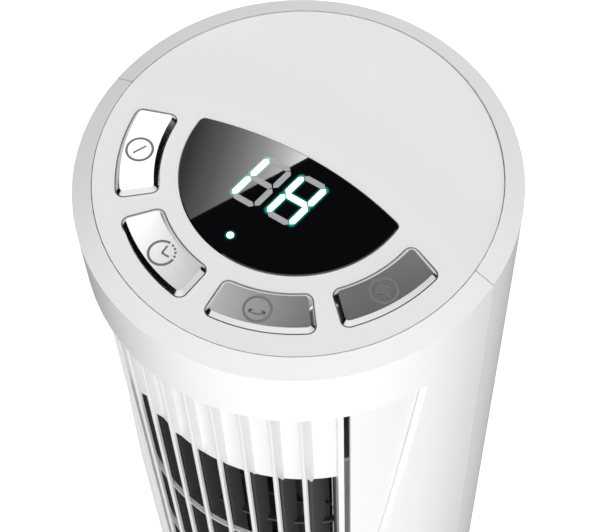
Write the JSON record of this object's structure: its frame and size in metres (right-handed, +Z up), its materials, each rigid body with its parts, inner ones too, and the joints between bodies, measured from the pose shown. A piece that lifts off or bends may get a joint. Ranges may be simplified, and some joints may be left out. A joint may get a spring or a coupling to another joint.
{
  "type": "tower fan",
  "caption": "Tall round white tower fan with a swinging column, ribbed curved front grille, cross-flow blower, sloped top ring, half-moon display and arc-shaped push keys on a round base.",
  "frame": {"origin": "on the floor under the column's swing axis, at the centre of the feet's resting plane", "axes": "+Z up along the swing axis, -Y out of the front grille, +X to the right of a person standing behind the fan and facing its rear"},
  "size_m": [0.26, 0.26, 0.76],
  "materials": {
    "shell_white": "satin white moulded plastic",
    "cap_white": "satin white moulded plastic",
    "grille_white": "satin white moulded plastic",
    "louvre_black": "matt black moulded plastic",
    "blower_black": "matt black moulded plastic",
    "lens_black": "high gloss smoked acrylic",
    "key_chrome": "satin chrome plating on plastic",
    "rubber_black": "black moulded rubber",
    "acetal_white": "plain acetal",
    "duct_white": "matt white plastic",
    "steel_bright": "zinc plated steel",
    "steel_sheet": "galvanised sheet steel",
    "core_dark": "laminated silicon steel",
    "rotor_alloy": "cast aluminium cage",
    "copper_wire": "enamelled copper wire",
    "bush_bronze": "sintered bronze",
    "board_green": "solder mask on glass fibre board",
    "switch_black": "black moulded plastic",
    "module_grey": "grey moulded plastic",
    "capacitor_grey": "potted plastic case",
    "lead_grey": "flexible PVC"
  },
  "bodies": {
    "base": {"base_cover": "shell_white", "base_plate": "louvre_black", "rubber_feet": "rubber_black", "pivot_post": "acetal_white", "swing_bush": "acetal_white", "cord_grommet": "rubber_black", "fixed_gear": "acetal_white", "post_screws": "steel_bright", "base_screws": "steel_bright"},
    "column": {"column_foot": "duct_white", "swing_retainer": "acetal_white", "foot_screws": "steel_bright", "front_casing": "shell_white", "rear_casing": "shell_white", "casing_screws": "steel_bright", "grille_surround": "grille_white", "front_grille": "grille_white", "inner_louvre": "louvre_black", "top_cap": "cap_white", "display_lens": "lens_black", "display_module": "module_grey", "control_board": "board_green", "board_screws": "steel_bright", "tact_switches": "switch_black", "motor_bracket": "steel_sheet", "motor_housing": "steel_sheet", "stator_core": "core_dark", "stator_windings": "copper_wire", "lower_bush": "bush_bronze", "upper_bush": "bush_bronze", "motor_dampers": "rubber_black", "motor_screws": "steel_bright", "blower_top_plate": "duct_white", "top_bush": "bush_bronze", "bush_seat": "rubber_black", "scroll_wall": "duct_white", "tongue_wall": "duct_white", "main_board": "board_green", "run_capacitor": "capacitor_grey", "power_transformer": "core_dark", "ribbon_lead": "lead_grey", "swing_bracket": "steel_sheet", "swing_motor": "steel_sheet"},
    "blower": {"blower_wheel": "blower_black", "drive_hub": "rotor_alloy", "motor_shaft": "steel_bright", "motor_rotor": "rotor_alloy", "top_stub": "steel_bright"},
    "pinion": {"swing_pinion": "acetal_white", "swing_shaft": "steel_bright"},
    "power_key": {"power_button": "key_chrome", "power_plunger": "switch_black"},
    "timer_key": {"timer_button": "key_chrome", "timer_plunger": "switch_black"},
    "swing_key": {"swing_button": "key_chrome", "swing_plunger": "switch_black"},
    "speed_key": {"speed_button": "key_chrome", "speed_plunger": "switch_black"}
  },
  "joints": [
    {"name": "column_swing", "type": "hinge", "parent": "base", "child": "column", "pos_m": [0, 0, 0.04], "axis": [0, 0, 1], "range_deg": [-35, 35]},
    {"name": "pinion_spin", "type": "hinge", "parent": "column", "child": "pinion", "pos_m": [0.04, 0, 0.03], "axis": [0, 0, 1], "range_deg": [-105.5, 105.5]},
    {"name": "blower_spin", "type": "hinge", "parent": "column", "child": "blower", "pos_m": [0, 0.008, 0.4], "axis": [0, 0, 1], "continuous": true},
    {"name": "power_press", "type": "slide", "parent": "column", "child": "power_key", "axis": [0, 0, -1], "range_m": [0, 0.0007], "stiffness_N_per_m": 800, "springref_m": -0.0003},
    {"name": "timer_press", "type": "slide", "parent": "column", "child": "timer_key", "axis": [0, 0, -1], "range_m": [0, 0.0007], "stiffness_N_per_m": 800, "springref_m": -0.0003},
    {"name": "swing_press", "type": "slide", "parent": "column", "child": "swing_key", "axis": [0, 0, -1], "range_m": [0, 0.0007], "stiffness_N_per_m": 800, "springref_m": -0.0003},
    {"name": "speed_press", "type": "slide", "parent": "column", "child": "speed_key", "axis": [0, 0, -1], "range_m": [0, 0.0007], "stiffness_N_per_m": 800, "springref_m": -0.0003}
  ],
  "couplings": [
    {"joint": "pinion_spin", "follows": "column_swing", "ratio": 3}
  ]
}
